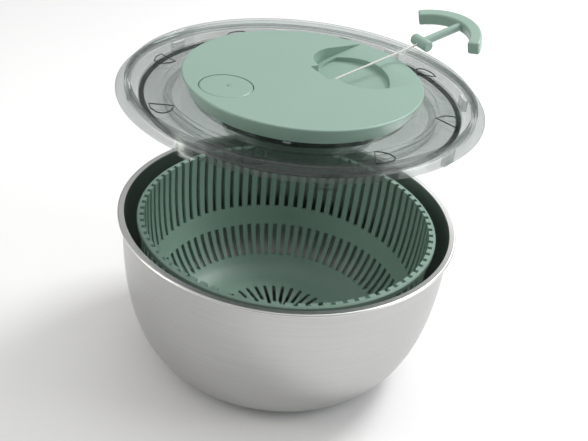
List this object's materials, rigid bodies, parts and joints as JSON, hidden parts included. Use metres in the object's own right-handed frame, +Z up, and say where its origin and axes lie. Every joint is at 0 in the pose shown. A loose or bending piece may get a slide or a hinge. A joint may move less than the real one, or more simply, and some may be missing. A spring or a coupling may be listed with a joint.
{
  "type": "salad spinner",
  "caption": "Pull-cord salad spinner: round steel bowl, slotted basket, clear lid with a corded T-handle reel and a brake button.",
  "frame": {"origin": "centre of the foot's underside, on the table", "axes": "+Z up along the bowl's axis; the cord is pulled towards +X and the brake button is on the -X side; modelled with the lid lifted off the bowl"},
  "size_m": [0.2767, 0.262, 0.2696],
  "materials": {
    "steel": "satin",
    "foot_rubber": "matte",
    "axle_steel": "polished",
    "spring_steel": "satin",
    "basket_plastic": "satin",
    "inner_plastic": "satin",
    "clear_plastic": "gloss",
    "cover_plastic": "satin",
    "button_plastic": "satin",
    "handle_plastic": "satin",
    "grip_rubber": "matte",
    "cord": "matte"
  },
  "bodies": {
    "bowl": {"bowl": "steel", "foot_pad": "foot_rubber", "pivot_stud": "axle_steel"},
    "basket": {"basket": "basket_plastic", "pivot_cup": "inner_plastic"},
    "lid": {"clear_lid": "clear_plastic", "top_cover": "cover_plastic", "cord_eyelet": "axle_steel", "reel_housing": "inner_plastic", "reel_cap": "inner_plastic", "pulley_pin": "axle_steel", "reel_axle": "axle_steel", "recoil_spring": "spring_steel", "inner_cord": "cord", "brake_spring": "spring_steel", "cover_screws": "axle_steel", "housing_screws": "axle_steel", "pull_cord": "cord"},
    "handle": {"pull_handle": "handle_plastic", "cord_ferrule": "axle_steel"},
    "reel": {"cord_reel": "inner_plastic", "wound_cord": "cord", "clutch_pawls": "inner_plastic"},
    "drive": {"drive_hub": "inner_plastic", "drive_plate": "clear_plastic", "drive_rim": "clear_plastic", "grip_ring": "grip_rubber", "hub_clip": "axle_steel"},
    "brake": {"brake_button": "button_plastic", "brake_pad": "grip_rubber"},
    "pulley": {"guide_pulley": "inner_plastic"}
  },
  "joints": [
    {"name": "basket_spin", "type": "hinge", "parent": "bowl", "child": "basket", "pos_m": [0, 0, 0.02], "axis": [0, 0, 1], "continuous": true},
    {"name": "lid_lift", "type": "slide", "parent": "bowl", "child": "lid", "axis": [0, 0, 1], "range_m": [-0.0998, 0.05]},
    {"name": "handle_pull", "type": "slide", "parent": "lid", "child": "handle", "axis": [0.9659, 0, 0.2588], "range_m": [-0.084, 0], "deforming": ["pull_cord"]},
    {"name": "reel_spin", "type": "hinge", "parent": "lid", "child": "reel", "pos_m": [0, 0, 0.214], "axis": [0, 0, 1], "range_deg": [-165, 5]},
    {"name": "drive_spin", "type": "hinge", "parent": "lid", "child": "drive", "pos_m": [0, 0, 0.208], "axis": [0, 0, 1], "continuous": true},
    {"name": "pulley_spin", "type": "hinge", "parent": "lid", "child": "pulley", "pos_m": [-0.039, 0, 0.2264], "axis": [0, 1, 0], "continuous": true},
    {"name": "brake_press", "type": "slide", "parent": "lid", "child": "brake", "axis": [0, 0, -1], "range_m": [0, 0.003], "stiffness_N_per_m": 900, "springref_m": -0.002, "deforming": ["brake_spring"]}
  ],
  "couplings": [
    {"joint": "reel_spin", "follows": "handle_pull", "rad_per_m": 33.333},
    {"joint": "drive_spin", "follows": "handle_pull", "rad_per_m": 33.333},
    {"joint": "pulley_spin", "follows": "handle_pull", "rad_per_m": 250}
  ]
}
